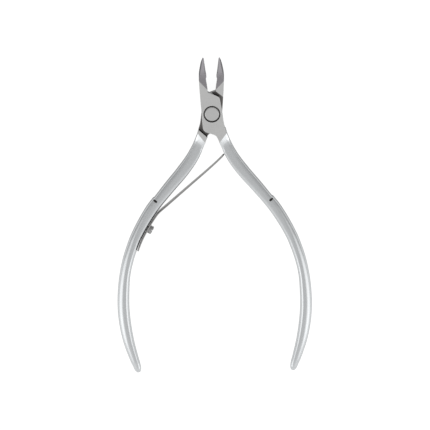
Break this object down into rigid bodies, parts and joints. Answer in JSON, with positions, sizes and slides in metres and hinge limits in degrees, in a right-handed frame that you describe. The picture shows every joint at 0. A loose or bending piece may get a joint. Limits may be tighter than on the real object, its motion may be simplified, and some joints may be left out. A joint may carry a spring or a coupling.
{
  "type": "cuticle nipper",
  "caption": "Slim lap-joint nipper with tapering ground jaws, round pivot, bowed palm handles and one screwed-on leaf spring that opens it.",
  "frame": {"origin": "on the pivot axis, at the back face of the rear lap plate", "axes": "+Y along the tool towards the jaws, +Z along the pivot towards the front face, +X to the right seen from the front"},
  "size_m": [0.0702, 0.1155, 0.0056],
  "materials": {
    "lever_steel": "satin chrome, ground flats on the lap and jaws",
    "pivot_steel": "ground, slightly proud, bright chamfer",
    "spring_steel": "rolled spring strip, satin",
    "screw_steel": "turned, slotted"
  },
  "bodies": {
    "rear_lever": {"rear_lever": "lever_steel", "pivot_screw": "pivot_steel", "leaf_spring": "spring_steel", "spring_screw": "screw_steel"},
    "front_lever": {"front_lever": "lever_steel"}
  },
  "joints": [
    {"name": "pivot", "type": "hinge", "parent": "rear_lever", "child": "front_lever", "pos_m": [0, 0, 0.0027], "axis": [0, 0, -1], "range_deg": [0, 14.9], "stiffness_Nm_per_rad": 1, "deforming": ["leaf_spring"]}
  ]
}
